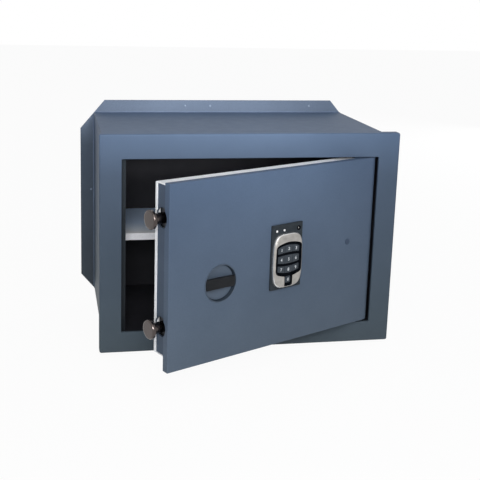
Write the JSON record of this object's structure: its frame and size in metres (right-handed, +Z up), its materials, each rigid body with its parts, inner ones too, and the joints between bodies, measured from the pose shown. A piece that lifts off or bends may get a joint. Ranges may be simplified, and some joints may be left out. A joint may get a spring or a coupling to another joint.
{
  "type": "wall safe",
  "caption": "Wall safe with a front frame, a hinged door with sliding bolts, a round flush handle, an electronic keypad and a shelf inside.",
  "frame": {"origin": "centre of the back plate's rear face", "axes": "+Y out of the back plate's rear face, into the wall; +Z up; +X to the right seen from the front"},
  "size_m": [0.45, 0.4114, 0.3324],
  "materials": {
    "blue_paint": "satin powder coat with a fine texture",
    "dark_paint": "satin",
    "white_paint": "satin",
    "shelf_paint": "satin",
    "bolt_steel": "bright plated",
    "zinc_steel": "zinc plated",
    "silver": "silver coated",
    "black_plastic": "satin",
    "dark_plastic": "satin",
    "key_plastic": "satin with white digits",
    "lamp": "clear domed",
    "board": "lacquered",
    "battery": "wrapped",
    "copper_wire": "matte"
  },
  "bodies": {
    "safe_body": {"front_frame": "blue_paint", "top_wall": "blue_paint", "bottom_wall": "blue_paint", "left_wall": "blue_paint", "right_wall": "blue_paint", "back_plate": "blue_paint", "door_stop_strip": "dark_paint", "shelf": "shelf_paint", "left_shelf_rail": "blue_paint", "right_shelf_rail": "blue_paint", "upper_hinge_block": "dark_paint", "lower_hinge_block": "dark_paint", "upper_hinge_pin": "zinc_steel", "lower_hinge_pin": "zinc_steel", "upper_thrust_washer": "zinc_steel", "lower_thrust_washer": "zinc_steel"},
    "door": {"door_plate": "blue_paint", "lock_box": "dark_paint", "rear_cover": "white_paint", "hard_plate": "zinc_steel", "upper_bolt_guide": "zinc_steel", "lower_bolt_guide": "zinc_steel", "upper_carriage_rail": "zinc_steel", "lower_carriage_rail": "zinc_steel", "lock_solenoid": "black_plastic", "plunger_spring": "zinc_steel", "keypad_plate": "black_plastic", "keypad_bezel": "silver", "key_mask": "black_plastic", "key_mat": "dark_plastic", "status_lamp_1": "lamp", "status_lamp_2": "lamp", "contact_socket": "black_plastic", "circuit_board": "board", "battery_tray": "black_plastic", "battery": "battery", "blanking_plug": "dark_paint", "keypad_cable": "copper_wire", "cover_screw_1": "zinc_steel", "cover_screw_2": "zinc_steel", "cover_screw_3": "zinc_steel", "cover_screw_4": "zinc_steel"},
    "handle": {"handle_cup": "dark_paint", "grip_bar": "black_plastic", "handle_spindle": "zinc_steel", "lock_cam": "zinc_steel"},
    "bolts": {"bolt_carriage": "zinc_steel", "upper_bolt": "bolt_steel", "lower_bolt": "bolt_steel"},
    "plunger": {"lock_plunger": "zinc_steel"},
    "key_0": {"key_0": "key_plastic"},
    "key_1": {"key_1": "key_plastic"},
    "key_2": {"key_2": "key_plastic"},
    "key_3": {"key_3": "key_plastic"},
    "key_4": {"key_4": "key_plastic"},
    "key_5": {"key_5": "key_plastic"},
    "key_6": {"key_6": "key_plastic"},
    "key_7": {"key_7": "key_plastic"},
    "key_8": {"key_8": "key_plastic"},
    "key_9": {"key_9": "key_plastic"}
  },
  "joints": [
    {"name": "door_hinge", "type": "hinge", "parent": "safe_body", "child": "door", "pos_m": [0.167, -0.249, 0], "axis": [0, 0, 1], "range_deg": [-26.2, 68.8]},
    {"name": "handle_turn", "type": "hinge", "parent": "door", "child": "handle", "pos_m": [-0.06403, -0.37494, -0.0182], "axis": [-0.4415, 0.8973, 0], "range_deg": [0, 60]},
    {"name": "bolt_slide", "type": "slide", "parent": "door", "child": "bolts", "axis": [0.8973, 0.4415, 0], "range_m": [0, 0.0175]},
    {"name": "plunger_slide", "type": "slide", "parent": "door", "child": "plunger", "axis": [0, 0, 1], "range_m": [-0.0065, 0], "deforming": ["plunger_spring"]},
    {"name": "key_0_press", "type": "slide", "parent": "door", "child": "key_0", "axis": [-0.4415, 0.8973, 0], "range_m": [0, 0.001], "stiffness_N_per_m": 400},
    {"name": "key_1_press", "type": "slide", "parent": "door", "child": "key_1", "axis": [-0.4415, 0.8973, 0], "range_m": [0, 0.001], "stiffness_N_per_m": 400},
    {"name": "key_2_press", "type": "slide", "parent": "door", "child": "key_2", "axis": [-0.4415, 0.8973, 0], "range_m": [0, 0.001], "stiffness_N_per_m": 400},
    {"name": "key_3_press", "type": "slide", "parent": "door", "child": "key_3", "axis": [-0.4415, 0.8973, 0], "range_m": [0, 0.001], "stiffness_N_per_m": 400},
    {"name": "key_4_press", "type": "slide", "parent": "door", "child": "key_4", "axis": [-0.4415, 0.8973, 0], "range_m": [0, 0.001], "stiffness_N_per_m": 400},
    {"name": "key_5_press", "type": "slide", "parent": "door", "child": "key_5", "axis": [-0.4415, 0.8973, 0], "range_m": [0, 0.001], "stiffness_N_per_m": 400},
    {"name": "key_6_press", "type": "slide", "parent": "door", "child": "key_6", "axis": [-0.4415, 0.8973, 0], "range_m": [0, 0.001], "stiffness_N_per_m": 400},
    {"name": "key_7_press", "type": "slide", "parent": "door", "child": "key_7", "axis": [-0.4415, 0.8973, 0], "range_m": [0, 0.001], "stiffness_N_per_m": 400},
    {"name": "key_8_press", "type": "slide", "parent": "door", "child": "key_8", "axis": [-0.4415, 0.8973, 0], "range_m": [0, 0.001], "stiffness_N_per_m": 400},
    {"name": "key_9_press", "type": "slide", "parent": "door", "child": "key_9", "axis": [-0.4415, 0.8973, 0], "range_m": [0, 0.001], "stiffness_N_per_m": 400}
  ],
  "couplings": [
    {"joint": "handle_turn", "follows": "bolt_slide", "rad_per_m": 59.835}
  ]
}
